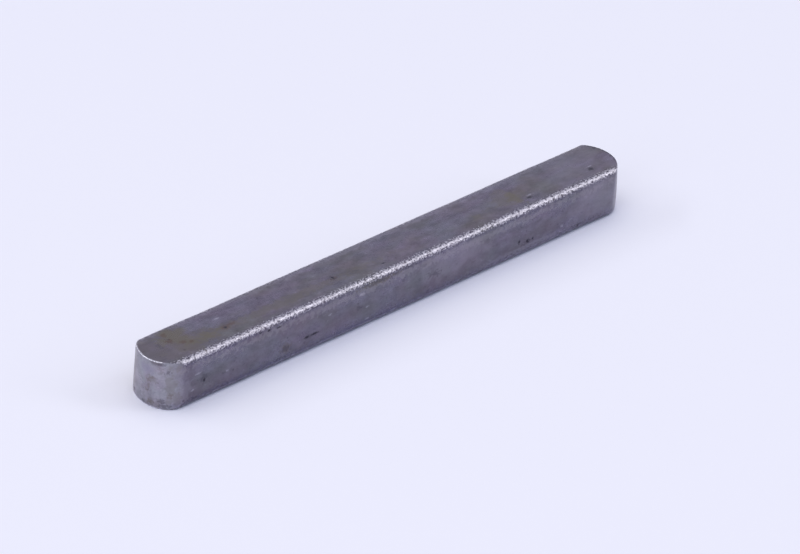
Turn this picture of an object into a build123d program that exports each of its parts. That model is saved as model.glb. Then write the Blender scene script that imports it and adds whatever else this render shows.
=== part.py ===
from build123d import *

import os

# A parallel key: one length of drawn steel bar, a little wider than it is tall,
# with its four long edges rounded and both ends ground to a shallow arc.
# It lies along X on its broad underside. X and Y are centred on the key,
# and Z = 0 is the face that beds in the shaft's keyway.
# All sizes are in millimetres.

key_length = 80.0  # tip to tip, over the crowns of both end arcs
key_width = 8.0  # between the side faces that carry the torque
key_height = 7.0  # between the shaft's keyway floor and the hub's
edge_radius = 0.6  # rounding along the four long edges
end_arc_radius = 5.3  # plan radius that both ends are ground to
corner_radius = 1.0  # plan blend from an end arc into a side face
ground_corner_radius = 3.6  # the same blend at the one corner ground rounder
cut_overrun = 1.0  # how far a cutting tool reaches past the metal it removes


def corner_sum(corner):
    """Lowest at the corner that lies furthest towards both -X and -Y."""
    return corner.X + corner.Y


def ground_outline():
    """The key seen from above: straight sides that end in two shallow arcs.

    A slot twice as wide as the arc radius has both end arcs in place. Trimmed
    to the key's width it is left with four corners, which are then blended.
    """
    with BuildSketch() as outline:
        SlotOverall(key_length, 2 * end_arc_radius)
        Rectangle(key_length, key_width, mode=Mode.INTERSECT)
        rounder_corner, *other_corners = outline.vertices().sort_by(corner_sum)
        fillet(other_corners, radius=corner_radius)
        rounder_corner = outline.vertices().sort_by_distance(rounder_corner)[0]
        fillet(rounder_corner, radius=ground_corner_radius)
    return outline.sketch


def square_edged_key():
    """The ground outline carried straight up, with every edge still square."""
    return extrude(ground_outline(), amount=key_height)


def long_edge_waste():
    """What the rounding takes off: a slim bar along each of the long edges.

    Seen from the end, a frame round the section loses its four straight runs,
    which leaves a square over each corner, and then loses the round that stays.
    """
    frame_width = key_width + 2 * cut_overrun
    frame_height = key_height + 2 * cut_overrun
    flat_width = key_width - 2 * edge_radius
    flat_height = key_height - 2 * edge_radius
    with BuildPart() as waste:
        with BuildSketch(Plane.YZ):
            with Locations((0, key_height / 2)):
                Rectangle(frame_width, frame_height)
                Rectangle(frame_width, flat_height, mode=Mode.SUBTRACT)
                Rectangle(flat_width, frame_height, mode=Mode.SUBTRACT)
                with GridLocations(flat_width, flat_height, 2, 2):
                    Circle(edge_radius, mode=Mode.SUBTRACT)
        extrude(amount=key_length / 2 + cut_overrun, both=True)
    return waste.part


def parallel_key():
    """The key, with its rounded long edges running out through the end arcs."""
    return square_edged_key() - long_edge_waste()


os.makedirs("parts", exist_ok=True)
export_step(parallel_key(), "parts/parallel_key.step")
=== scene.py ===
import math

import bpy
import numpy as np
from mathutils import Matrix, Vector


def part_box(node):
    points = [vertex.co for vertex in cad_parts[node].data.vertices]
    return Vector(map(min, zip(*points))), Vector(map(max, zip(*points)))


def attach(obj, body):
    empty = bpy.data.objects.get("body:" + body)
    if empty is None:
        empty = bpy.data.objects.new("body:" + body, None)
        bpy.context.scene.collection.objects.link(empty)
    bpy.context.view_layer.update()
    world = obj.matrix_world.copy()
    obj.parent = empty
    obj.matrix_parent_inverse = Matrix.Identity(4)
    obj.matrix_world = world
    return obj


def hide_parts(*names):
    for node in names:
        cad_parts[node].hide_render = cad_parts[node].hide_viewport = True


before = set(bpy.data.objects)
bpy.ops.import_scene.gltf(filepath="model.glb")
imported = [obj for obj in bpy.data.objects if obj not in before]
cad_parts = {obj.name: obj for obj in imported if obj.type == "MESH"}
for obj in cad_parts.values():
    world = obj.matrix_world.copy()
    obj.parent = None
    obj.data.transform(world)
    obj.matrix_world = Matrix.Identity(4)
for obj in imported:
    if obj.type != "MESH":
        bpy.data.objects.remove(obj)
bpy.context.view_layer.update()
mm = 0.001  # shapes are worked out in millimetres and put into meshes in metres
print("frame loaded:", sorted(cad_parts))

# Half sizes of the CAD key. Heights are from mid-height while the shape is worked out.
keyLow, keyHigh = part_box("parallel_key")
halfLength = min(-keyLow.x, keyHigh.x) / mm
halfWidth = min(-keyLow.y, keyHigh.y) / mm
halfHeight = keyHigh.z / 2 / mm

keyBody = {
    "edgeRadius": 0.6,  # rounding of the long edges
    "lowEdgeRadius": 0.98,  # and of the two lower ones, which are worn more
    "edgeUneven": 0.12,  # share by which that rounding swells and thins along the key
    "edgeSwell": 5.0,  # and over what length
    "edgeSeed": 3,
    "alongFaces": 640,  # faces along the key
    "wideFaces": 28,  # faces across the flat of the top and of the underside
    "tallFaces": 24,  # faces up the flat of each side
    "roundFaces": 10,  # faces round each long edge, an even number
    "rimFaces": 4,  # faces round the sharp rim where an end meets the long faces
    "rimRadius": 0.08,  # how round that rim is worn
    "rimUneven": 0.6,  # share by which that changes round the rim
    "rimSwell": 0.9,  # and over what length
    "rimSeed": 21,
    "cornerReach": (1.7, 0.5),  # how near a worn corner its wear starts, and is full
    # Relief of the surface: long shallow waves left by drawing, scuffs over them, and
    # knocks and a hammered grain that reach a little way from the middle of a long edge.
    "waves": {"depth": 0.012, "cell": (7.0, 1.6, 1.6), "layers": 3, "seed": 5},
    "scuffs": {"depth": 0.005, "cell": (0.9, 0.45, 0.45), "layers": 3, "seed": 11},
    "knocks": {"depth": 0.02, "cell": (0.7, 0.5, 0.5), "layers": 2, "seed": 31, "reach": 0.45},
    "peening": {"depth": 0.014, "cell": (0.34, 0.3, 0.3), "layers": 1, "seed": 41, "reach": 0.8},
    # Where the rim is sharp: this far to the front and to the back of the middle. Further
    # out it is blended, and its finish is kept away by a wider gap.
    "sharpWidth": (2.3, 2.9),
    "bluntFade": (0.1, 0.6),
    "bluntSlope": 0.3,  # how fast the rim grows blunt away from the top and the underside
    "bluntGap": 3.0,
    # How squarely a surface faces along x where the ground finish starts and is full: for
    # the share of it that wraps round into the sides, and for the rest.
    "wrapFade": (0.04, 0.38),
    "squareFade": (0.15, 0.65),
    # An end's crown is the y where it reaches furthest out. Its blends are the plan radii
    # into the side faces. Both change from underside to top, because the ends lean, and so
    # does how far the whole end is drawn back. One corner of its rim, given by the signs of
    # its y and z, is worn rounder than the rest.
    "nearEnd": {
        "arcRadius": 6.0, "crown": (0.25, -0.45), "frontBlend": (3.7, 3.9),
        "backBlend": (0.5, 1.1), "drawnBack": (0.1, 0.0), "groundWrap": 0.3,
        "wornCorner": (1.0, 1.0), "cornerRadius": 0.42,
    },
    "farEnd": {
        "arcRadius": 5.1, "crown": (0.0, 0.2), "frontBlend": (3.8, 1.1),
        "backBlend": (1.0, 1.0), "drawnBack": (0.0, 0.0), "groundWrap": 0.7,
        "wornCorner": (-1.0, -1.0), "cornerRadius": 0.45,
    },
}

noiseTable = 4096  # random numbers that the noise draws from, a power of two
noiseMix = (73856093, 19349663, 83492791)  # large odd numbers that scatter its lattice corners
noiseOrigin = 1000.0  # keeps those corners above zero


# Value noise: a random number at each corner of a lattice, blended across each cell by a
# smooth S curve. It runs from -1 to 1. The cell may have its own size along x, y and z.
def valueNoise(points, cell, seed):
    table = np.random.default_rng(seed).uniform(-1.0, 1.0, noiseTable)
    scaled = points / np.asarray(cell, float) + noiseOrigin
    corner = np.floor(scaled).astype(np.int64)
    part = scaled - corner
    part = part * part * (3.0 - 2.0 * part)
    total = np.zeros(points.shape[:-1])
    for step in np.ndindex(2, 2, 2):
        mixed = (corner + step) * noiseMix
        index = (mixed[..., 0] ^ mixed[..., 1] ^ mixed[..., 2]) & (noiseTable - 1)
        total += table[index] * np.where(np.array(step) == 1, part, 1.0 - part).prod(-1)
    return total


# Layers of value noise, each with half the cell and half the strength of the last.
def layeredNoise(points, cell, seed, layers=3):
    cell = np.asarray(cell, float)
    parts = [valueNoise(points, cell / 2**n, seed + n) / 2**n for n in range(layers)]
    return sum(parts) / (2.0 - 0.5 ** (layers - 1))


def smoothStep(low, high, value):  # 0 below low, 1 above high, an even S between them
    part = np.clip((value - low) / (high - low), 0.0, 1.0)
    return part * part * (3.0 - 2.0 * part)


# How far an end's outline lies in from its tip at each y and z. The crown is an arc: its
# radius less the root of radius squared minus squared distance from the crown line. Next
# to each side face a smaller arc takes over, tangent to the crown arc and to the face.
# The whole end is then drawn back a little more.
def endSetback(end, y, z):
    rise = np.clip((z + halfHeight) / (2.0 * halfHeight), 0.0, 1.0)
    arc = end["arcRadius"]
    crown = end["crown"][0] + (end["crown"][1] - end["crown"][0]) * rise
    setback = arc - np.sqrt(np.maximum(arc**2 - (y - crown) ** 2, 0.0))
    for side, name in ((-1.0, "frontBlend"), (1.0, "backBlend")):
        blend = end[name][0] + (end[name][1] - end[name][0]) * rise
        centre = halfWidth - blend  # all of this is measured towards this side
        reach = np.sqrt(np.maximum((arc - blend) ** 2 - (centre - side * crown) ** 2, 0.0))
        tangent = side * crown + arc * (centre - side * crown) / (arc - blend)
        beyond = np.clip(side * y - centre, 0.0, blend)
        setback = np.where(
            side * y > tangent, arc - reach - np.sqrt(blend**2 - beyond**2), setback
        )
    return setback + end["drawnBack"][0] + (end["drawnBack"][1] - end["drawnBack"][0]) * rise


def endOn(side):  # the near end is at minus x, and the far end at plus x
    return keyBody["farEnd"] if side > 0 else keyBody["nearEnd"]


# The x of an end's surface: half the length less its setback, towards its side.
def endX(side, y, z):
    return side * (halfLength - endSetback(endOn(side), y, z))


# Outward normals of an end: the slope of its setback across y and z, turned outwards.
def endNormals(side, y, z):
    end = endOn(side)
    step = 0.002  # a short way to each side, for the slope
    lowY, highY = np.maximum(y - step, -halfWidth), np.minimum(y + step, halfWidth)
    acrossY = (endSetback(end, highY, z) - endSetback(end, lowY, z)) / (highY - lowY)
    acrossZ = (endSetback(end, y, z + step) - endSetback(end, y, z - step)) / (2.0 * step)
    normal = np.stack((np.full_like(acrossY, side), acrossY, acrossZ), axis=-1)
    return normal / np.linalg.norm(normal, axis=-1, keepdims=True)


# The loop round the section, anticlockwise seen from plus x, starting half way round the
# back top edge. A point is its place in the sharp-cornered square from -1 to 1, the way it
# faces, its shares of the four corners, and its distance from the nearest edge's middle.
def sectionLoop():
    corners = np.array([(1, 1), (-1, 1), (-1, -1), (1, -1), (1, 1)], float)
    half = keyBody["roundFaces"] // 2
    radius = keyBody["edgeRadius"]
    halfRound = math.pi / 4  # half of the quarter turn round an edge
    place, facing, share, gap = [], [], [], []
    for k in range(4):
        count = keyBody["wideFaces"] if k % 2 == 0 else keyBody["tallFaces"]
        run = 2.0 * ((halfWidth if k % 2 == 0 else halfHeight) - radius)
        turn = np.concatenate((
            np.linspace(-1.0, 0.0, half + 1)[:-1],
            np.zeros(count),
            np.linspace(0.0, 1.0, half + 1)[:-1],
        ))
        along = np.concatenate((
            np.zeros(half), np.linspace(0.0, 1.0, count + 1)[:-1], np.ones(half),
        ))
        angle = math.pi / 2 * (k + 1) + halfRound * turn
        place.append(corners[k] + (corners[k + 1] - corners[k]) * along[:, None])
        facing.append(np.stack((np.cos(angle), np.sin(angle)), axis=1))
        weights = np.zeros((len(angle), 4))
        weights[:, k] = 1.0 - along
        weights[:, (k + 1) % 4] += along
        share.append(weights)
        flatGap = radius * halfRound + run * np.minimum(along, 1.0 - along)
        roundGap = radius * halfRound * (1.0 - np.abs(turn))
        gap.append(np.where(turn == 0.0, flatGap, roundGap))
    return [np.concatenate(part) for part in (place, facing, share, gap)]


# Loops of the section, one for each station along the key from 0 to 1. Each edge has its
# own rounding, which changes slowly: point = place times (half size - radius) + radius
# times facing.
def sectionRings(place, facing, share, stations):
    nominal = (2.0 * stations - 1.0) * halfLength
    edge = np.arange(4)  # the two upper edges, then the two lower ones
    apart = 50.0  # far enough for each edge to have noise of its own
    where = np.stack(np.broadcast_arrays(nominal[:, None], edge * apart, 0.0), axis=-1)
    plain = np.where(edge < 2, keyBody["edgeRadius"], keyBody["lowEdgeRadius"])
    swell = layeredNoise(where, keyBody["edgeSwell"], keyBody["edgeSeed"])
    radius = plain * (1.0 + keyBody["edgeUneven"] * swell)
    radius = (radius @ share.T)[..., None]
    return place * (np.array((halfWidth, halfHeight)) - radius) + radius * facing


# The rim of an end, as loops from the long faces to the end face. At each angle from 0 to
# 90 degrees the section is drawn in by radius times (1 - cosine), and the end surface is
# drawn back by radius times (1 - sine). The radius grows towards the worn corner.
def endRim(side, ring, facing):
    end = endOn(side)
    steps = np.linspace(0.0, math.pi / 2, keyBody["rimFaces"] + 1)[:, None]
    apart = 9.0  # far enough for each end to have noise of its own
    where = np.concatenate((np.full((len(ring), 1), side * apart), ring), axis=1)
    swell = layeredNoise(where, keyBody["rimSwell"], keyBody["rimSeed"])
    radius = keyBody["rimRadius"] * (1.0 + keyBody["rimUneven"] * swell)
    toCorner = np.linalg.norm(ring - np.array(end["wornCorner"]) * (halfWidth, halfHeight), axis=1)
    radius = radius + end["cornerRadius"] * smoothStep(*keyBody["cornerReach"], toCorner)
    inset = ring - facing * (radius * (1.0 - np.cos(steps)))[..., None]
    x = endX(side, inset[..., 0], inset[..., 1]) - side * radius * (1.0 - np.sin(steps))
    points = np.concatenate((x[..., None], inset), axis=-1)
    outward = np.concatenate((np.zeros((len(ring), 1)), facing), axis=1)
    ends = endNormals(side, inset[..., 0], inset[..., 1])
    normals = outward * np.cos(steps)[..., None] + ends * np.sin(steps)[..., None]
    return points, normals / np.linalg.norm(normals, axis=-1, keepdims=True)


# The four sides of an end's rim, from its loop: the top, the front, the underside and the
# back. They run from the back to the front, or from the top down.
def rimSides(loop):
    wide = keyBody["wideFaces"] + keyBody["roundFaces"]
    tall = keyBody["tallFaces"] + keyBody["roundFaces"]
    loop = np.concatenate((loop, loop[:1]))
    top, front = loop[: wide + 1], loop[wide : wide + tall + 1]
    under, back = loop[wide + tall : 2 * wide + tall + 1], loop[2 * wide + tall :]
    return top, front, under[::-1], back[::-1]


# The face of an end: a Coons patch between the four sides of its rim. It is worked out in
# z and in a turn that is the arcsine of y over the half width, so that rows stay even
# where the end curves round into the side faces.
def endFace(side, rimLoop):
    turn = np.arcsin(np.clip(rimLoop[:, 1] / halfWidth, -1.0, 1.0))
    top, front, under, back = rimSides(np.stack((turn, rimLoop[:, 2]), axis=1))
    u = np.linspace(0.0, 1.0, len(top))[None, :, None]
    v = np.linspace(0.0, 1.0, len(front))[:, None, None]
    patch = (1 - v) * top[None] + v * under[None] + (1 - u) * back[:, None] + u * front[:, None]
    corners = (1 - v) * ((1 - u) * top[0] + u * top[-1])
    corners = corners + v * ((1 - u) * under[0] + u * under[-1])
    patch -= corners
    inner = patch[1:-1, 1:-1]
    y, z = halfWidth * np.sin(inner[..., 0]), inner[..., 1]
    points = np.stack((endX(side, y, z), y, z), axis=-1)
    return points, endNormals(side, y, z)


# Vertex numbers of an end face as a grid. Its border is the last loop of the rim, and the
# points inside it count on from the first.
def endGrid(rimLoop, first):
    top, front, under, back = rimSides(rimLoop)
    tall, wide = len(front) - 2, len(top) - 2
    grid = np.zeros((tall + 2, wide + 2), np.int64)
    grid[1:-1, 1:-1] = first + np.arange(tall * wide).reshape(tall, wide)
    grid[0], grid[:, -1], grid[-1], grid[:, 0] = top, front, under, back
    return grid


# Quads of a grid of vertex numbers, turned so that they face outwards.
def gridQuads(grid, flip=False):
    corners = (grid[:-1, :-1], grid[:-1, 1:], grid[1:, 1:], grid[1:, :-1])
    quads = np.stack(corners, axis=-1).reshape(-1, 4)
    return quads[:, ::-1] if flip else quads


# Puts points and quads into a new mesh object, smooth shaded, with its place in its mesh.
def meshObject(name, points, quads):
    mesh = bpy.data.meshes.new(name)
    mesh.vertices.add(len(points))
    mesh.vertices.foreach_set("co", np.asarray(points, np.float32).ravel())
    mesh.loops.add(quads.size)
    mesh.loops.foreach_set("vertex_index", quads.ravel().astype(np.int32))
    mesh.polygons.add(len(quads))
    mesh.polygons.foreach_set("loop_start", np.arange(0, quads.size, 4, dtype=np.int32))
    mesh.polygons.foreach_set("use_smooth", np.ones(len(quads), bool))
    mesh.update(calc_edges=True)
    mesh.validate()
    piece = bpy.data.objects.new(name, mesh)
    bpy.context.scene.collection.objects.link(piece)
    return piece


# How far each point sinks below the plain shape, always inwards so that the key keeps
# inside its CAD box. Waves, scuffs and the hammered grain are a depth times half of
# (1 + noise), and knocks a depth times the noise above zero. Grain and knocks lie on the
# long edges and fade as e to the minus of (gap / reach) to a power.
def surfaceSink(points, edgeGap):
    def noise(relief):
        return layeredNoise(points, relief["cell"], relief["seed"], relief["layers"])

    waves, scuffs = keyBody["waves"], keyBody["scuffs"]
    knocks, peening = keyBody["knocks"], keyBody["peening"]
    onEdge = np.exp(-((edgeGap / knocks["reach"]) ** 2))
    nearEdge = np.exp(-((edgeGap / peening["reach"]) ** 4))
    return (
        waves["depth"] * (0.5 + 0.5 * noise(waves))
        + scuffs["depth"] * (0.5 + 0.5 * noise(scuffs))
        + knocks["depth"] * np.maximum(noise(knocks), 0.0) * onEdge
        + peening["depth"] * (0.5 + 0.5 * noise(peening)) * nearEdge
    )


# Distance from the rim of an end: along x on the long faces, and down from the top or up
# from the underside on an end face. Where the rim is blunt the distance is made longer.
def rimDistance(points, onEndFace):
    x, y, z = points.T
    fromEnd = np.minimum(x - endX(-1.0, y, z), endX(1.0, y, z) - x)
    fromFace = halfHeight - np.abs(z)
    front, back = keyBody["sharpWidth"]
    beyond = np.where(y < 0.0, -y - front, y - back)
    blunt = smoothStep(*keyBody["bluntFade"], beyond + keyBody["bluntSlope"] * fromFace)
    return np.where(onEndFace, fromFace, fromEnd) + keyBody["bluntGap"] * blunt


# How much of the ground finish each point has: none on the long faces, and on an end more
# the more squarely it faces along x. A share of it rises in an S curve that starts early,
# round in the sides, and the rest in a straight line.
def groundAmount(points, normals, onEnd):
    near, far = keyBody["nearEnd"]["groundWrap"], keyBody["farEnd"]["groundWrap"]
    wrap = np.where(points[:, 0] < 0.0, near, far)
    squarely = np.abs(normals[:, 0])
    low, high = keyBody["squareFade"]
    square = np.clip((squarely - low) / (high - low), 0.0, 1.0)
    wrapped = smoothStep(*keyBody["wrapFade"], squarely)
    return onEnd * (wrap * wrapped + (1.0 - wrap) * square)


def joinRows(*parts):  # grids of points put end to end
    return np.concatenate([part.reshape(-1, 3) for part in parts])


# The key is loops of points, from the near rim along the body to the far rim, closed by
# the two end faces. Each point then sinks along its normal by the surface's relief.
def buildKey():
    place, facing, share, gap = sectionLoop()
    around = len(gap)
    stations = np.linspace(0.0, 1.0, keyBody["alongFaces"] + 1)
    rings = sectionRings(place, facing, share, stations)
    nearRim, nearRimNormals = endRim(-1.0, rings[0], facing)
    farRim, farRimNormals = endRim(1.0, rings[-1], facing)
    x = nearRim[0, :, 0] + (farRim[0, :, 0] - nearRim[0, :, 0]) * stations[:, None]
    body = np.concatenate((x[..., None], rings), axis=-1)
    bodyNormals = np.concatenate((np.zeros((around, 1)), facing), axis=1)
    bodyNormals = np.broadcast_to(bodyNormals, body.shape)
    nearFace, nearFaceNormals = endFace(-1.0, nearRim[-1])
    farFace, farFaceNormals = endFace(1.0, farRim[-1])

    loops = np.concatenate((nearRim[:0:-1], body, farRim[1:]))
    loopNormals = np.concatenate((nearRimNormals[:0:-1], bodyNormals, farRimNormals[1:]))
    points = joinRows(loops, nearFace, farFace)
    normals = joinRows(loopNormals, nearFaceNormals, farFaceNormals)
    loopPoints = len(loops) * around
    rows = np.arange(loopPoints).reshape(len(loops), around)
    nearGrid = endGrid(rows[0], loopPoints)
    farGrid = endGrid(rows[-1], loopPoints + nearFace.size // 3)
    rows = np.concatenate((rows, rows[:, :1]), axis=1)
    quads = np.concatenate((gridQuads(rows), gridQuads(nearGrid, True), gridQuads(farGrid)))

    wideGap = 3.0  # for the end faces, wider than any finish that follows a long edge
    edgeGap = np.concatenate((
        np.tile(gap, len(loops)), np.full(len(points) - loopPoints, wideGap),
    ))
    onEndFace = np.arange(len(points)) >= loopPoints
    rimPoints = around * keyBody["rimFaces"]
    onEnd = onEndFace.copy()
    onEnd[:rimPoints] = True
    onEnd[loopPoints - rimPoints : loopPoints] = True
    rimGap = rimDistance(points, onEndFace)
    groundShare = groundAmount(points, normals, onEnd)
    points = points - normals * surfaceSink(points, edgeGap)[:, None]
    points[:, 2] += halfHeight

    piece = meshObject("keyBody", points * mm, quads)
    for name, values in (("edgeGap", edgeGap), ("rimGap", rimGap), ("groundShare", groundShare)):
        layer = piece.data.attributes.new(name, "FLOAT", "POINT")
        layer.data.foreach_set("value", values.astype(np.float32))
    print("key built:", len(points), "points,", 2 * len(quads), "triangles")
    return piece


def newMaterial(name):  # a material with an empty node tree
    material = bpy.data.materials.new(name)
    material.use_nodes = True
    material.node_tree.nodes.clear()
    return material


# Adds a node, sets its own settings, and fills or links its inputs.
def addNode(tree, kind, inputs=(), **settings):
    node = tree.nodes.new(kind)
    for name, value in settings.items():
        setattr(node, name, value)
    for name, value in dict(inputs).items():
        if isinstance(value, bpy.types.NodeSocket):
            tree.links.new(value, node.inputs[name])
        else:
            node.inputs[name].default_value = value
    return node


def combine(tree, operation, first, second):  # two values, by a Math node
    return addNode(tree, "ShaderNodeMath", {0: first, 1: second}, operation=operation).outputs[0]


def combineVectors(tree, operation, first, second):  # two vectors or colours
    inputs = {0: first, 1: second}
    return addNode(tree, "ShaderNodeVectorMath", inputs, operation=operation).outputs[0]


def product(tree, value, *factors):  # a value times each factor in turn
    for factor in factors:
        value = combine(tree, "MULTIPLY", value, factor)
    return value


def addShare(tree, total, value, share):  # the total plus a share of the value
    return combine(tree, "ADD", total, product(tree, value, share))


def scaleVector(tree, vector, factor):  # a vector or colour times one value
    inputs = {0: vector, "Scale": factor}
    return addNode(tree, "ShaderNodeVectorMath", inputs, operation="SCALE").outputs[0]


# Two colours, inputs 6 and 7 of the node, blended into its output 2. Share 0 gives the
# first, and 1 the second.
def blendColour(tree, share, first, second, blend="MIX"):
    inputs = {"Factor": share, 6: first, 7: second}
    return addNode(tree, "ShaderNodeMix", inputs, data_type="RGBA", blend_type=blend).outputs[2]


def cover(tree, colour, share, value):  # lays a plain colour over what is there
    return blendColour(tree, share, colour, (*value, 1.0))


# A ramp from one pair of values to another, clamped at both ends and eased in and out.
def ramp(tree, value, low, high, toLow=0.0, toHigh=1.0):
    inputs = {"Value": value, "From Min": low, "From Max": high, "To Min": toLow, "To Max": toHigh}
    return addNode(tree, "ShaderNodeMapRange", inputs, interpolation_type="SMOOTHSTEP").outputs[0]


# Starts a node group. An input whose default is one number takes a value, and one whose
# default is three numbers a vector. Every output is a value.
def startGroup(name, inputs, outputs):
    group = bpy.data.node_groups.new(name, "ShaderNodeTree")
    for label, value in inputs.items():
        kind = "NodeSocketVector" if isinstance(value, tuple) else "NodeSocketFloat"
        socket = group.interface.new_socket(name=label, in_out="INPUT", socket_type=kind)
        socket.default_value = value
    for label in outputs:
        group.interface.new_socket(name=label, in_out="OUTPUT", socket_type="NodeSocketFloat")
    given = addNode(group, "NodeGroupInput").outputs
    result = addNode(group, "NodeGroupOutput").inputs
    return group, given, result


def useGroup(tree, group, inputs):  # places a group, and gives its outputs
    return addNode(tree, "ShaderNodeGroup", inputs, node_tree=group).outputs


# Layered noise with cells of Size millimetres, drawn out by Stretch. The middle half of
# its range is spread to run from 0 to 1.
def grainGroup():
    inputs = {
        "Coordinates": (0.0, 0.0, 0.0), "Stretch": (1.0, 1.0, 1.0), "Size": 1.0, "Detail": 2.0,
    }
    group, given, result = startGroup("steelGrain", inputs, ["Grain"])
    stretched = combineVectors(group, "DIVIDE", given["Coordinates"], given["Stretch"])
    noise = addNode(group, "ShaderNodeTexNoise", {
        "Vector": stretched, "Detail": given["Detail"], "Roughness": 0.6,
        "Scale": combine(group, "DIVIDE", 1.0, given["Size"]),
    })
    spread = ramp(group, noise.outputs["Fac"], 0.25, 0.75)
    group.links.new(spread, result["Grain"])
    return group


# A mark at Place: full inside about a third of its Reach along x, y and z, gone at its
# Reach. Noise of size Cell, brought to about -1 to 1, makes its outline uneven by Ragged.
def markGroup():
    inputs = {
        "Coordinates": (0.0, 0.0, 0.0), "Place": (0.0, 0.0, 0.0), "Reach": (1.0, 1.0, 1.0),
        "Ragged": 0.4, "Cell": 0.5,
    }
    group, given, result = startGroup("surfaceMark", inputs, ["Mask"])
    offset = combineVectors(group, "SUBTRACT", given["Coordinates"], given["Place"])
    scaled = combineVectors(group, "DIVIDE", offset, given["Reach"])
    distance = addNode(group, "ShaderNodeVectorMath", {0: scaled}, operation="LENGTH")
    noise = addNode(group, "ShaderNodeTexNoise", {
        "Vector": given["Coordinates"], "Detail": 3.0,
        "Scale": combine(group, "DIVIDE", 1.0, given["Cell"]),
    })
    uneven = combine(group, "SUBTRACT", noise.outputs["Fac"], 0.5)
    uneven = product(group, uneven, 4.0, given["Ragged"])
    away = combine(group, "ADD", distance.outputs["Value"], uneven)
    group.links.new(ramp(group, away, 1.0, 0.35), result["Mask"])
    return group


# Small specks: one place in each Voronoi cell of Spacing millimetres, kept for a Share of
# the cells. Its reach is 0.02 and a random part of Reach.
def speckGroup():
    inputs = {"Coordinates": (0.0, 0.0, 0.0), "Spacing": 1.0, "Reach": 0.2, "Share": 0.5}
    group, given, result = startGroup("strewnSpecks", inputs, ["Mask"])
    cells = addNode(group, "ShaderNodeTexVoronoi", {
        "Vector": given["Coordinates"], "Scale": combine(group, "DIVIDE", 1.0, given["Spacing"]),
    })
    split = addNode(group, "ShaderNodeSeparateColor", {0: cells.outputs["Color"]})
    kept = combine(group, "LESS_THAN", split.outputs[0], given["Share"])
    reach = combine(group, "ADD", product(group, split.outputs[1], given["Reach"]), 0.02)
    reach = combine(group, "DIVIDE", reach, given["Spacing"])
    away = combine(group, "DIVIDE", cells.outputs["Distance"], reach)
    group.links.new(product(group, ramp(group, away, 1.0, 0.4), kept), result["Mask"])
    return group


# A band along an edge or a rim: full where Gap, the distance from it in millimetres, is
# under Inner, and gone past Outer, with an outline broken up by Grain.
def edgeBandGroup():
    inputs = {"Gap": 0.0, "Grain": 0.5, "Inner": 0.2, "Outer": 0.6, "Ragged": 0.4}
    group, given, result = startGroup("edgeBand", inputs, ["Mask"])
    uneven = combine(group, "SUBTRACT", given["Grain"], 0.5)
    gap = addShare(group, given["Gap"], uneven, given["Ragged"])
    group.links.new(ramp(group, gap, given["Outer"], given["Inner"]), result["Mask"])
    return group


grainNodes = grainGroup()
markNodes = markGroup()
speckNodes = speckGroup()
edgeBandNodes = edgeBandGroup()

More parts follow.
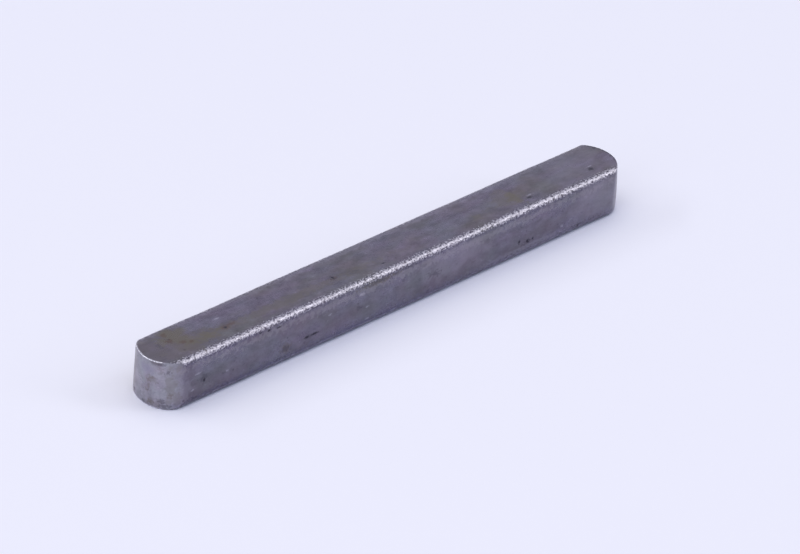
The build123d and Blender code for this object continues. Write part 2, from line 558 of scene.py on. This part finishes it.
bareSteel = {
    "drawnColour": (0.180, 0.166, 0.219),  # the oiled sides and underside
    # the top is painted darker than the sides: painted shade for the dimmer light it mirrors
    "shadedTopColour": (0.1525, 0.136, 0.182),
    "filmColour": (0.142, 0.129, 0.127),  # dried oil over both, browner
    "sideFilm": 0.6,  # how much of the film the sides have
    "warmTint": (1.05, 0.97, 1.02),  # slow drifts of hue over the whole key
    "coolTint": (0.955, 1.03, 0.975),
    "groundColour": (0.322, 0.310, 0.356),  # the ends
    "wornHighlightColour": (0.42, 0.402, 0.44),  # long edges rubbed bright, with a painted highlight where the front box lights them
    "wornHighlightShare": 0.845,
    "wornRimHighlightColour": (0.86, 0.845, 0.89),  # the sharp rim of the near end, worn bright, with a painted highlight
    "grimeAndShadeColour": (0.085, 0.078, 0.10),  # dark specks beside the long edges, partly a painted dark reflection, and a dark line on the far rim
    "grimeAndShadeShare": 0.75,
    "tone": {"blotches": 0.37, "smears": 0.10, "fine": 0.19},  # how far each lightens and darkens
    "sideTone": 0.72,  # and how much of that the sides have
    "nickTone": 0.2,
    "fineRoughness": 0.6,  # how much the fine grain counts beside the clouds
    "rubbedRoughness": 0.32,
    "rimRoughness": 0.24,
    "grainHeight": 0.003,  # heights in millimetres
    "smearHeight": 0.002,
    "nickHeight": 0.006,
    "sparkHeight": 0.029,
    "speckHeight": 0.012,
    "specks": {"Spacing": 1.7, "Reach": 0.3, "Share": 0.4},
    "speckShare": 0.4,  # how dark they are
    # Layers of noise: size in millimetres, stretch along the key, detail, and a shift that
    # sets a layer apart from the others.
    "grains": {
        "clouds": (4.0, 2.0, 2.0, 0.0),
        "blotches": (1.3, 1.5, 3.0, 0.0),
        "smears": (0.6, 4.0, 3.0, 0.0),
        "fine": (0.28, 1.0, 3.0, 0.0),
        "hue": (3.2, 1.8, 3.0, 40.0),
        "nicks": (0.55, 1.7, 2.0, 80.0),
        "spark": (0.25, 1.2, 3.0, 20.0),
    },
    # Ramps: the two values between which they run, and what they give there, which is 0
    # and 1 if left out.
    "ramps": {
        "top": (6.2, 6.8),  # by height, from the sides to the top
        "film": (0.0, 1.0, 0.0, 0.7),  # least and most of the dried oil
        "lightNicks": (0.88, 1.0),
        "darkNicks": (0.12, 0.0),
        "grimeAndShadeBlotches": (0.25, 0.6),
        "grimeAndShadeSpark": (0.55, 0.2),
        # painted glints: the bright edge's colour rises and falls with the spark grain
        "wornHighlightSparkle": (0.15, 0.85, 0.80, 1.33),
        "rimBeads": (0.3, 0.6, 0.3, 1.0),
        "nearHalf": (5.0, -5.0),  # along the key
        "farHalf": (-5.0, 5.0, 0.0, 0.95),
        "darkRim": (-2.6, -1.6),  # across the key
        "roughness": (0.2, 1.4, 0.26, 0.38),
    },
    "bands": {
        "beside": {"Inner": 0.6, "Outer": 1.2, "Ragged": 0.7},
        "wornHighlight": {"Inner": 0.15, "Outer": 0.62, "Ragged": -1.1},
        "rim": {"Inner": 0.05, "Outer": 0.2, "Ragged": 0.2},
        "darkRim": {"Inner": 0.14, "Outer": 0.46, "Ragged": 0.6},
    },
    # The front top edge is rubbed most and carries most of the painted highlight. Under it,
    # lower down, at the back and in over the top the gap counts as wider: a direction, from
    # where to where in it, and by how much.
    "lessWornHighlight": [
        ("height", 6.6, 6.3, 0.2),
        ("height", 3.0, 1.0, 0.4),
        ("across", 1.0, 3.0, 0.25),
        ("across", -3.7, -3.3, 0.07),
    ],
    "outlineCell": 0.6,  # how coarse a mark's outline is, as a share of its middle reach
}

# Marks by kind, laid one over another in this order. Each place is a point on the key, in
# millimetres from the middle of the underside, and its reach along x, y and z. Share is
# how much a mark covers, ragged how uneven its outline is, and depth how far it is dug in.
marks = {
    "lowShade": {  # darker strips low on the sides and under the front's bright edge
        "colour": (0.112, 0.105, 0.165), "share": 0.5, "ragged": 0.7,
        "places": [
            ((-27.0, -4.0, 0.88), (13.0, 0.5, 0.46)),
            ((-6.0, -4.0, 0.82), (16.0, 0.5, 0.46)),
            ((0.0, -4.0, 6.2), (60.0, 0.4, 0.25)),
            ((12.0, 4.0, 1.2), (20.0, 0.5, 0.7)),
        ],
    },
    "paintedBlueReflection": {  # a painted reflection of the bluish floor along both lower edges
        "colour": (0.165, 0.16, 0.245), "share": 0.32, "ragged": 0.7,
        "places": [((0.0, -3.8, 0.7), (60.0, 0.9, 0.9)), ((0.0, 3.8, 0.7), (60.0, 0.9, 0.9))],
    },
    "paintedLowSheen": {  # those edges painted paler, a painted reflection of the floor
        "colour": (0.27, 0.26, 0.34), "share": 0.75, "ragged": 0.5,
        "places": [((0.0, -3.7, 0.4), (62.0, 0.8, 0.54)), ((0.0, 3.7, 0.4), (62.0, 0.8, 0.54))],
    },
    "band": {  # a faint band below each upper edge
        "colour": (0.33, 0.31, 0.335), "share": 0.31, "ragged": 1.1,
        "places": [((0.0, -4.0, 5.6), (60.0, 0.5, 0.7)), ((0.0, 4.0, 5.6), (60.0, 0.5, 0.7))],
    },
    "lighterAndSheen": {  # lighter places on the front, and a painted sheen along the back of the top
        "colour": (0.33, 0.31, 0.37), "share": 0.3, "ragged": 0.35,
        "places": [
            ((9.0, -4.0, 4.4), (9.0, 0.6, 3.0)),
            ((37.0, -4.0, 3.4), (10.0, 0.6, 4.6)),
            ((22.0, -4.0, 1.2), (14.0, 0.6, 0.55)),
            ((-36.7, -4.0, 2.5), (1.25, 0.6, 2.6)),
            ((0.0, 3.5, 7.0), (80.0, 1.1, 0.5)),
        ],
    },
    "paler": {  # paler places on the top, the underside and the back
        "colour": (0.22, 0.205, 0.26), "share": 0.3, "ragged": 0.5,
        "places": [
            ((34.0, 0.4, 7.0), (9.0, 4.6, 0.5)),
            ((12.0, -1.0, 0.0), (14.0, 3.6, 0.5)),
            ((-31.0, 4.0, 3.4), (9.0, 0.6, 3.0)),
        ],
    },
    "lilac": {  # a lilac place on each end
        "colour": (0.30, 0.285, 0.375), "share": 0.5, "ragged": 0.5,
        "places": [
            ((-40.0, -0.1, 5.4), (0.8, 1.7, 1.5)),
            ((40.0, -0.4, 4.4), (0.8, 1.8, 2.0)),
        ],
    },
    "oldOil": {  # old oil on the top by the near end
        "colour": (0.144, 0.124, 0.119), "share": 0.75, "ragged": 0.7,
        "places": [((-34.5, 0.4, 7.0), (4.2, 4.4, 1.0)), ((-30.5, -1.2, 7.0), (3.0, 1.4, 1.0))],
    },
    "tipOil": {  # and out to its tip
        "colour": (0.134, 0.116, 0.128), "share": 0.7, "ragged": 0.5,
        "places": [((-38.6, -0.4, 7.0), (3.2, 3.6, 1.0))],
    },
    "stain": {  # brown stains on the long faces
        "colour": (0.152, 0.135, 0.126), "share": 0.55, "ragged": 0.6,
        "places": [
            ((-19.0, -1.2, 7.0), (20.0, 1.1, 0.6)),
            ((21.5, -0.4, 7.0), (3.4, 2.6, 0.6)),
            ((15.2, -1.5, 7.0), (1.2, 1.0, 0.4)),
            ((-20.0, -4.0, 2.2), (1.2, 0.5, 0.9)),
            ((8.0, 4.0, 3.0), (5.0, 0.5, 2.0)),
            ((-18.0, 4.0, 4.5), (7.0, 0.5, 1.4)),
            ((-10.0, 1.0, 0.0), (9.0, 2.4, 0.5)),
            ((24.0, -1.0, 0.0), (6.0, 2.0, 0.5)),
        ],
    },
    "endStainAndShade": {  # stains on the ends, and painted shade over the back of the near end
        "colour": (0.215, 0.196, 0.198), "share": 0.5, "ragged": 0.6,
        "places": [
            ((-38.6, -3.3, 3.4), (1.4, 0.9, 3.2)),
            ((-37.8, -3.8, 1.5), (0.9, 0.7, 1.3)),
            ((-37.6, -3.9, 6.0), (0.8, 0.7, 0.7)),
            ((-39.8, -1.0, 4.2), (0.9, 1.1, 0.7)),
            ((-39.6, -1.6, 0.8), (0.9, 2.4, 0.8)),
            # painted shade over the back of the near end
            ((-38.8, 3.4, 4.0), (1.2, 2.0, 4.0)),
            ((-39.4, -2.5, 5.6), (0.6, 0.7, 0.8)),
            ((39.4, 0.8, 2.4), (1.4, 2.2, 1.6)),
            ((39.4, -1.5, 5.4), (1.4, 1.2, 1.0)),
        ],
    },
    "olive": {  # olive stains, most of them on the top
        "colour": (0.152, 0.134, 0.088), "share": 0.48, "ragged": 0.8,
        "places": [
            ((-34.5, 1.5, 7.0), (2.5, 2.6, 1.0)),
            ((-33.2, -0.4, 7.0), (2.3, 2.4, 1.0)),
            ((-30.6, -1.1, 7.0), (2.0, 1.0, 1.0)),
            ((22.3, -1.0, 7.0), (1.4, 1.6, 0.6)),
            ((-39.8, -0.6, 0.7), (0.6, 0.9, 0.4)),
            ((-4.2, -4.0, 6.0), (4.0, 0.5, 0.45)),
        ],
    },
    "rust": {  # rust spots, most of them on the top
        "colour": (0.106, 0.062, 0.047), "share": 0.52, "ragged": 0.5,
        "places": [
            ((-27.7, -1.1, 7.0), (0.8, 0.75, 0.4)),
            ((-26.6, -0.9, 7.0), (1.1, 0.4, 0.4)),
            ((-35.3, 0.9, 7.0), (0.6, 0.8, 0.4)),
            ((-35.0, 2.4, 7.0), (0.6, 0.5, 0.4)),
            ((-34.0, -0.4, 7.0), (0.6, 0.5, 0.4)),
            ((-33.1, -0.9, 7.0), (0.6, 0.35, 0.4)),
            ((-9.3, -0.9, 7.0), (0.7, 0.6, 0.4)),
            ((39.5, 1.1, 2.0), (0.8, 0.5, 0.5)),
        ],
    },
    "endRust": {  # rust on the near end
        "colour": (0.185, 0.152, 0.140), "share": 0.5, "ragged": 0.7,
        "places": [
            ((-39.8, -1.35, 4.45), (0.6, 0.6, 0.3)),
            ((-39.9, -0.65, 3.9), (0.6, 0.5, 0.4)),
            ((-39.9, -0.6, 3.1), (0.6, 0.3, 0.5)),
            ((-40.0, -0.4, 2.4), (0.6, 0.45, 0.35)),
            ((-38.6, -3.2, 2.1), (0.8, 0.3, 0.6)),
        ],
    },
    "smudgeAndShade": {  # soft dark smudges, and painted shade along the foot of the near end
        "colour": (0.085, 0.078, 0.10), "share": 0.5, "depth": 0.008, "ragged": 0.8,
        "places": [
            ((-33.7, -4.0, 3.2), (0.8, 0.4, 0.8)),
            ((-20.1, -4.0, 2.1), (0.8, 0.4, 0.7)),
            ((-15.8, -4.0, 2.4), (1.5, 0.4, 0.35)),
            ((-35.3, -4.0, 0.9), (0.9, 0.4, 0.35)),
            ((22.0, -4.0, 2.0), (1.2, 0.4, 0.5)),
            ((-4.0, -4.0, 5.95), (3.4, 0.4, 0.36)),
            ((1.0, -4.0, 6.2), (1.6, 0.4, 0.25)),
            ((-7.6, -4.0, 3.4), (0.6, 0.3, 0.4)),
            ((4.3, -4.0, 1.2), (0.4, 0.3, 0.3)),
            ((5.2, -4.0, 3.4), (1.5, 0.4, 0.7)),
            ((-39.3, -2.5, 6.65), (0.6, 0.9, 0.22)),
            ((-9.4, -0.8, 7.0), (0.5, 0.6, 0.4)),
            ((24.1, -2.1, 7.0), (0.7, 0.5, 0.4)),
            ((-37.0, 0.6, 7.0), (0.5, 0.9, 0.4)),
            ((-39.3, -2.35, 1.15), (0.8, 0.5, 0.45)),
            ((-39.2, -2.6, 0.5), (0.8, 0.6, 0.35)),
            ((-40.0, 0.3, 0.35), (0.6, 0.5, 0.3)),
            ((-40.0, 0.9, 1.45), (0.6, 0.2, 0.16)),
            ((-39.4, 2.6, 0.75), (0.6, 0.45, 0.3)),
            ((-38.8, -3.0, 5.5), (0.8, 0.4, 0.4)),
            ((-38.7, -3.2, 0.6), (0.8, 0.5, 0.35)),
            ((-28.0, 4.0, 2.2), (1.1, 0.4, 0.5)),
            ((3.0, 4.0, 4.6), (0.7, 0.4, 0.4)),
            ((30.0, 4.0, 1.6), (1.4, 0.4, 0.4)),
        ],
    },
    "pit": {  # pits, and a scratch on the front
        "colour": (0.036, 0.032, 0.046), "share": 0.88, "depth": 0.035, "ragged": 0.4,
        "places": [
            ((-27.7, -1.15, 7.0), (0.36, 0.3, 0.3)),
            ((-9.4, -0.8, 7.0), (0.3, 0.42, 0.3)),
            ((-2.0, -2.2, 7.0), (0.45, 0.2, 0.3)),
            ((23.9, -2.0, 7.0), (0.6, 0.32, 0.3)),
            ((35.2, -1.75, 7.0), (0.6, 0.42, 0.3)),
            ((-33.6, -4.0, 3.0), (0.24, 0.3, 0.32)),
            ((-22.9, -4.0, 6.0), (0.42, 0.3, 0.2)),
            ((-21.2, -4.0, 5.8), (0.55, 0.3, 0.16)),
            ((-24.3, -4.0, 6.15), (0.3, 0.3, 0.16)),
            ((-39.3, 2.7, 0.8), (0.5, 0.3, 0.25)),
            ((-16.5, -4.0, 2.45), (0.6, 0.3, 0.25)),
            ((-15.2, -4.0, 2.5), (0.9, 0.3, 0.22)),
            ((20.4, -4.0, 2.4), (0.3, 0.3, 0.45)),
            ((21.9, -4.0, 1.95), (0.42, 0.3, 0.42)),
            ((22.8, -4.0, 2.1), (0.22, 0.3, 0.2)),
            ((31.0, -4.0, 0.9), (0.35, 0.3, 0.3)),
            ((-28.2, 4.0, 2.1), (0.5, 0.3, 0.25)),
            ((14.0, 4.0, 3.4), (0.35, 0.3, 0.3)),
            ((39.3, -0.6, 3.7), (0.6, 0.35, 0.3)),
        ],
    },
    "fleck": {  # small bright flecks
        "colour": (0.40, 0.385, 0.45), "share": 0.5, "ragged": 0.5,
        "places": [
            ((-29.8, -4.0, 2.8), (0.3, 0.3, 0.25)),
            ((-34.6, -4.0, 4.3), (0.6, 0.3, 0.2)),
            ((-7.2, -4.0, 5.2), (0.6, 0.3, 0.3)),
            ((-6.2, -4.0, 3.0), (0.35, 0.3, 0.2)),
            ((-6.2, -4.0, 1.2), (0.4, 0.3, 0.2)),
            ((35.5, -1.15, 7.0), (0.55, 0.16, 0.3)),
            ((-27.2, 1.2, 7.0), (0.5, 0.22, 0.3)),
            ((-38.9, 2.1, 1.7), (0.6, 0.4, 0.2)),
            ((-39.6, -2.0, 1.8), (0.6, 0.16, 0.5)),
            ((-39.9, -0.3, 0.75), (0.4, 0.3, 0.16)),
            ((-35.5, -4.0, 2.2), (0.4, 0.3, 0.2)),
            ((-12.6, -4.0, 4.3), (0.4, 0.3, 0.2)),
            ((28.1, -4.0, 1.95), (0.35, 0.3, 0.25)),
            ((24.3, -1.5, 7.0), (0.6, 0.2, 0.3)),
            ((-39.9, 0.7, 1.8), (0.4, 0.35, 0.25)),
        ],
    },
}


def markMask(tree, coordinates, kind):  # the strongest of all the marks of one kind
    mask = 0.0
    for place, reach in kind["places"]:
        one = useGroup(tree, markNodes, {
            "Coordinates": coordinates, "Place": place, "Reach": reach,
            "Ragged": kind["ragged"], "Cell": bareSteel["outlineCell"] * sorted(reach)[1],
        })["Mask"]
        mask = combine(tree, "MAXIMUM", mask, one)
    return mask


def steelRamp(tree, value, name):  # one of the ramps of the steel, by its name
    return ramp(tree, value, *bareSteel["ramps"][name])


def steelBand(tree, gap, grain, name):  # one of its bands
    inputs = {"Gap": gap, "Grain": grain, **bareSteel["bands"][name]}
    return useGroup(tree, edgeBandNodes, inputs)["Mask"]


# What the finish is worked out from, by name: millimetres along, across and up the key,
# the values kept in the mesh, the layers of noise, and nicks, which are the highest of
# their noise less the lowest.
def steelInputs(tree):
    place = addNode(tree, "ShaderNodeTexCoord").outputs["Object"]
    coordinates = addNode(tree, "ShaderNodeMapping", {
        "Vector": place, "Scale": (1.0 / mm, 1.0 / mm, 1.0 / mm),
    }, vector_type="POINT").outputs[0]
    given = {"coordinates": coordinates}
    axes = addNode(tree, "ShaderNodeSeparateXYZ", {0: coordinates}).outputs
    given["along"], given["across"], given["height"] = axes
    for name in ("edgeGap", "rimGap", "groundShare"):
        given[name] = addNode(tree, "ShaderNodeAttribute", attribute_name=name).outputs["Fac"]
    for name, (size, stretch, detail, shift) in bareSteel["grains"].items():
        moved = combineVectors(tree, "ADD", coordinates, (shift, shift, shift))
        given[name] = useGroup(tree, grainNodes, {
            "Coordinates": moved, "Stretch": (stretch, 1.0, 1.0),
            "Size": size, "Detail": detail,
        })["Grain"]
    light = steelRamp(tree, given["nicks"], "lightNicks")
    dark = steelRamp(tree, given["nicks"], "darkNicks")
    given["nicked"] = combine(tree, "SUBTRACT", light, dark)
    return given


# Colour before any marks: sides, a top painted darker as painted shade, and ground ends
# under a film of oil, times a slow tint, times a tone. The tone is 1 plus a part of each
# layer of noise less a half, and plus a part of the nicks.
def plainColour(tree, given):
    low, high = bareSteel["ramps"]["top"]
    height = given["height"]
    film = steelRamp(tree, given["clouds"], "film")
    film = product(tree, film, ramp(tree, height, low, high, bareSteel["sideFilm"], 1.0))
    colour = (*bareSteel["drawnColour"], 1.0)
    colour = cover(tree, colour, steelRamp(tree, height, "top"), bareSteel["shadedTopColour"])
    colour = cover(tree, colour, film, bareSteel["filmColour"])
    colour = cover(tree, colour, given["groundShare"], bareSteel["groundColour"])
    cool, warm = (*bareSteel["coolTint"], 1.0), (*bareSteel["warmTint"], 1.0)
    tint = blendColour(tree, given["hue"], cool, warm)
    colour = blendColour(tree, 1.0, colour, tint, "MULTIPLY")
    tone = 0.0
    for name, strength in bareSteel["tone"].items():
        tone = addShare(tree, tone, combine(tree, "SUBTRACT", given[name], 0.5), strength)
    tone = product(tree, tone, ramp(tree, height, low, high, bareSteel["sideTone"], 1.0))
    tone = addShare(tree, tone, given["nicked"], bareSteel["nickTone"])
    return scaleVector(tree, colour, combine(tree, "ADD", tone, 1.0))


# Lays each kind of mark, and then the specks, over the colour, and digs them into the
# relief by their depth.
def layMarks(tree, given, colour, relief):
    for kind in marks.values():
        mask = markMask(tree, given["coordinates"], kind)
        colour = cover(tree, colour, product(tree, mask, kind["share"]), kind["colour"])
        if "depth" in kind:
            relief = addShare(tree, relief, mask, -kind["depth"])
    inputs = {"Coordinates": given["coordinates"], **bareSteel["specks"]}
    specks = useGroup(tree, speckNodes, inputs)["Mask"]
    share = product(tree, specks, bareSteel["speckShare"])
    colour = cover(tree, colour, share, marks["pit"]["colour"])
    return colour, addShare(tree, relief, specks, -bareSteel["speckHeight"])


# Wear and painted light of the edges, each laid over the last: dark specks beside the long
# edges, partly a painted dark reflection; those edges rubbed bright, with a painted
# highlight; the near rim rubbed brighter, with a painted highlight; and a dark line on the
# far rim. Gives the colour and the masks of the first three.
def edgeWearAndLight(tree, given, colour):
    spark = given["spark"]
    beside = steelBand(tree, given["edgeGap"], given["blotches"], "beside")
    grimeAndShade = steelRamp(tree, given["blotches"], "grimeAndShadeBlotches")
    grimeAndShade = product(tree, grimeAndShade, steelRamp(tree, spark, "grimeAndShadeSpark"), beside)
    grimeAndShade = product(tree, grimeAndShade, bareSteel["grimeAndShadeShare"])
    colour = cover(tree, colour, grimeAndShade, bareSteel["grimeAndShadeColour"])

    wider = 0.0
    for direction, start, end, most in bareSteel["lessWornHighlight"]:
        wider = combine(tree, "ADD", wider, ramp(tree, given[direction], start, end, 0.0, most))
    gap = combine(tree, "ADD", given["edgeGap"], wider)
    wornHighlight = product(tree, steelBand(tree, gap, spark, "wornHighlight"), bareSteel["wornHighlightShare"])
    bright = scaleVector(tree, bareSteel["wornHighlightColour"], steelRamp(tree, spark, "wornHighlightSparkle"))
    colour = blendColour(tree, wornHighlight, colour, bright)

    rim = steelBand(tree, given["rimGap"], spark, "rim")
    beads = steelRamp(tree, spark, "rimBeads")
    beads = product(tree, beads, steelRamp(tree, given["along"], "nearHalf"))
    colour = cover(tree, colour, product(tree, rim, beads), bareSteel["wornRimHighlightColour"])
    darkRim = steelBand(tree, given["rimGap"], given["nicks"], "darkRim")
    darkRim = product(tree, darkRim, steelRamp(tree, given["across"], "darkRim"))
    darkRim = product(tree, darkRim, steelRamp(tree, given["along"], "farHalf"))
    return cover(tree, colour, darkRim, bareSteel["grimeAndShadeColour"]), beside, wornHighlight, rim


# The finish of the whole key. Its relief is a sum of heights, and its roughness comes from
# the clouds and the fine grain and is drawn to a value of its own where the key is rubbed.
def bareSteelMaterial():
    material = newMaterial("bareSteel")
    tree = material.node_tree
    given = steelInputs(tree)
    relief = product(tree, given["fine"], bareSteel["grainHeight"])
    relief = addShare(tree, relief, given["smears"], bareSteel["smearHeight"])
    relief = addShare(tree, relief, given["nicked"], bareSteel["nickHeight"])
    colour, relief = layMarks(tree, given, plainColour(tree, given), relief)
    colour, beside, wornHighlight, rim = edgeWearAndLight(tree, given, colour)
    relief = addShare(tree, relief, product(tree, given["spark"], beside), bareSteel["sparkHeight"])
    bump = addNode(tree, "ShaderNodeBump", {"Height": relief, "Distance": mm, "Strength": 1.0})

    roughness = addShare(tree, given["clouds"], given["fine"], bareSteel["fineRoughness"])
    roughness = steelRamp(tree, roughness, "roughness")
    for mask, name in ((wornHighlight, "rubbedRoughness"), (rim, "rimRoughness")):
        change = combine(tree, "SUBTRACT", bareSteel[name], roughness)
        roughness = addShare(tree, roughness, change, mask)
    shader = addNode(tree, "ShaderNodeBsdfPrincipled", {
        "Base Color": colour, "Roughness": roughness, "Metallic": 1.0, "Normal": bump.outputs[0],
    })
    addNode(tree, "ShaderNodeOutputMaterial", {"Surface": shader.outputs["BSDF"]})
    return material


key = buildKey()
key.data.materials.append(bareSteelMaterial())
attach(key, "root")
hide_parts("parallel_key")
print("steel finish built")

studio = {
    "floorColour": (0.80, 0.815, 0.955),
    "floorSpan": 12.0,  # metres each way
    "floorRoughness": 0.9,
    "backdropColour": (0.812, 0.829, 0.973),  # what the camera sees past the floor
    "horizonLight": (0.18, 0.185, 0.24),
    "overheadLight": (2.36, 2.31, 2.20),
    "overheadNarrow": 5.0,  # how far the light draws together overhead, 1 is an even rise
    "backTint": (0.36, 0.25, 0.0),  # how much each colour gains to the back and loses to the front
    # Soft boxes: where they lie from the key and which way their long side runs, then
    # distance, length and width in metres, and watts.
    "frontBox": {
        "towards": (0.582, -0.593, 0.556), "longSide": (0.0, 0.684, 0.729),
        "distance": 0.8, "length": 0.62, "width": 0.22, "watts": 1.22,
    },
    "backBox": {
        "towards": (-0.52, 0.62, 0.58), "longSide": (0.77, 0.64, 0.0),
        "distance": 0.8, "length": 0.6, "width": 0.10, "watts": 0.9,
    },
    "sideBox": {
        "towards": (-0.80, -0.25, 0.55), "longSide": (-0.3, 0.95, 0.0),
        "distance": 0.8, "length": 0.5, "width": 0.5, "watts": 0.8,
    },
}


def buildFloor():  # a flat square, level with the underside of the key
    half = studio["floorSpan"] / 2
    corners = np.array([(-half, -half, 0), (half, -half, 0), (half, half, 0), (-half, half, 0)])
    floor = meshObject("floor", corners, np.array([[0, 1, 2, 3]]))
    material = newMaterial("paleBoard")
    tree = material.node_tree
    shader = addNode(tree, "ShaderNodeBsdfPrincipled", {
        "Base Color": (*studio["floorColour"], 1.0), "Roughness": studio["floorRoughness"],
        "Specular IOR Level": 0.0,
    })
    addNode(tree, "ShaderNodeOutputMaterial", {"Surface": shader.outputs["BSDF"]})
    floor.data.materials.append(material)


# The world is dim at the horizon and bright overhead: horizon colour plus the difference
# to the overhead colour times height to a power, all times 1 plus the back tint times y.
# The camera and reflections see a plain pale backdrop in its place.
def buildWorld():
    world = bpy.data.worlds.new("studioLight")
    bpy.context.scene.world = world
    world.use_nodes = True
    tree = world.node_tree
    tree.nodes.clear()
    coordinates = addNode(tree, "ShaderNodeTexCoord")
    split = addNode(tree, "ShaderNodeSeparateXYZ", {0: coordinates.outputs["Generated"]})
    rise = combine(tree, "MAXIMUM", split.outputs["Z"], 0.0)
    rise = combine(tree, "POWER", rise, studio["overheadNarrow"])
    sky = blendColour(tree, rise, (*studio["horizonLight"], 1.0), (*studio["overheadLight"], 1.0))
    lean = scaleVector(tree, studio["backTint"], split.outputs["Y"])
    lean = combineVectors(tree, "ADD", lean, (1.0, 1.0, 1.0))
    sky = combineVectors(tree, "MULTIPLY", sky, lean)
    ray = addNode(tree, "ShaderNodeLightPath").outputs
    seen = combine(tree, "ADD", ray["Is Camera Ray"], ray["Is Glossy Ray"])
    seen = combine(tree, "ADD", seen, ray["Is Transmission Ray"])
    seen = combine(tree, "MINIMUM", seen, 1.0)
    shown = blendColour(tree, seen, sky, (*studio["backdropColour"], 1.0))
    light = addNode(tree, "ShaderNodeBackground", {"Color": shown, "Strength": 1.0})
    addNode(tree, "ShaderNodeOutputWorld", {"Surface": light.outputs[0]})


# A rectangular lamp that faces the key. Its long side is the wanted direction less what of
# it lies along the way to the key.
def addSoftBox(name):
    box = studio[name]
    lamp = bpy.data.lights.new(name, "AREA")
    lamp.shape = "RECTANGLE"
    lamp.size = box["width"]
    lamp.size_y = box["length"]
    lamp.energy = box["watts"]
    towards = Vector(box["towards"]).normalized()
    side = Vector(box["longSide"]).cross(towards).normalized()
    turned = Matrix((side, towards.cross(side), towards)).transposed().to_4x4()
    holder = bpy.data.objects.new(name, lamp)
    holder.matrix_world = Matrix.Translation(towards * box["distance"]) @ turned
    bpy.context.scene.collection.objects.link(holder)


buildFloor()
buildWorld()
addSoftBox("frontBox")
addSoftBox("backBox")
addSoftBox("sideBox")
print("studio built")

viewpoint = {
    "azimuth": -43.006,  # degrees round the key, 0 looks along plus y
    "elevation": 31.357,
    "roll": 1.822,
    "distance": 0.7628,  # metres
    "lens": 266.4,  # millimetres
    "aimRight": 2.231,  # millimetres in the picture plane from the middle of the key
    "aimUp": -0.325,
    "clip": (0.01, 50.0),
}


# The camera backs away from its aim by azimuth and elevation. Its right and up are turned
# about that line by the roll, and the aim is moved along them from the key's middle.
def buildCamera():
    angles = (viewpoint["azimuth"], viewpoint["elevation"], viewpoint["roll"])
    azimuth, elevation, roll = (math.radians(angle) for angle in angles)
    back = Vector((
        math.sin(azimuth) * math.cos(elevation),
        -math.cos(azimuth) * math.cos(elevation),
        math.sin(elevation),
    ))
    right = Vector((0, 0, 1)).cross(back).normalized()
    up = back.cross(right)
    rolledRight = right * math.cos(roll) + up * math.sin(roll)
    rolledUp = up * math.cos(roll) - right * math.sin(roll)
    aim = Vector((0, 0, halfHeight * mm))
    aim += (rolledRight * viewpoint["aimRight"] + rolledUp * viewpoint["aimUp"]) * mm
    camera = bpy.data.objects.new("camera", bpy.data.cameras.new("camera"))
    camera.data.lens = viewpoint["lens"]
    turned = Matrix((rolledRight, rolledUp, back)).transposed().to_4x4()
    camera.matrix_world = Matrix.Translation(aim + back * viewpoint["distance"]) @ turned
    camera.data.clip_start, camera.data.clip_end = viewpoint["clip"]
    bpy.context.scene.collection.objects.link(camera)
    bpy.context.scene.camera = camera


buildCamera()
bpy.context.scene.view_settings.view_transform = "Standard"
